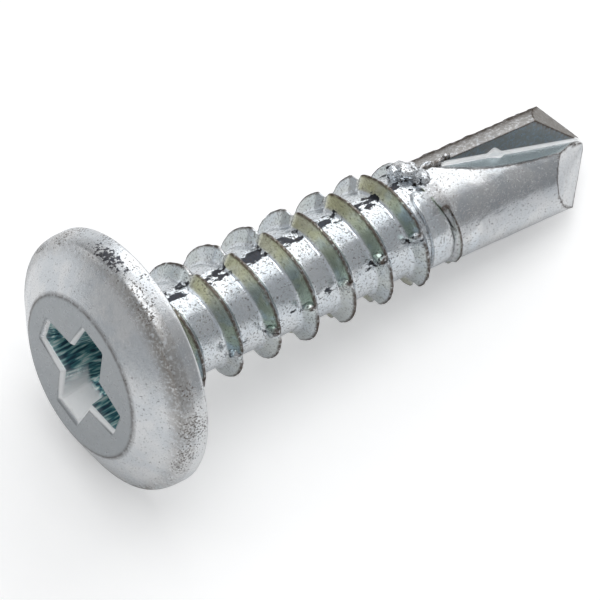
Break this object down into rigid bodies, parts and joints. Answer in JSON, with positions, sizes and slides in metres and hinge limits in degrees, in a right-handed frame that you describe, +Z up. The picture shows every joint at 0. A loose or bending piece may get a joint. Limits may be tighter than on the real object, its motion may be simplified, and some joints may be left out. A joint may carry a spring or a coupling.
{
  "type": "self-drilling framing screw",
  "caption": "Zinc-plated framing screw with a low flat-crowned head, a cross recess, a coarse thread and a forged drill point.",
  "frame": {"origin": "on the floor under the middle of the screw as it lies", "axes": "+X along the floor from the head to the drill point, +Z up; the screw's own axis dips 9.3 degrees towards +X because it lies on its wide head and on its thin point"},
  "size_m": [0.0228, 0.0096, 0.0096],
  "materials": {
    "zinc_plate": "bright zinc plating over steel, worn and lightly pitted"
  },
  "bodies": {
    "root": {"screw": "zinc_plate"}
  },
  "joints": []
}
